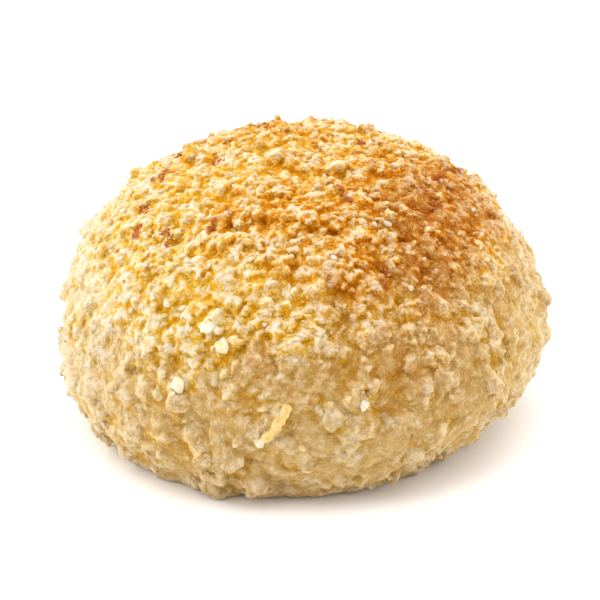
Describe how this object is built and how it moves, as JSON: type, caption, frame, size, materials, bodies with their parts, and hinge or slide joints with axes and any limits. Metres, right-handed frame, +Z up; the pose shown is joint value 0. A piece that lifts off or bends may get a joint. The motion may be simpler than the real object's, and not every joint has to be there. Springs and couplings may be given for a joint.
{
  "type": "cheese bread",
  "caption": "Round domed cheese bun, baked under a rough crumble crust that is browned on top, with a small flat base to rest on.",
  "frame": {"origin": "on the resting plane, under the middle of the bun's box", "axes": "+Z up through the dome, -Y the front that the picture shows, +X to the right seen from the front"},
  "size_m": [0.1018, 0.1, 0.0599],
  "materials": {
    "crumble_crust": "matte baked crumble, pale cream on the sides and golden brown on top"
  },
  "bodies": {
    "root": {"cheese_bun": "crumble_crust"}
  },
  "joints": []
}
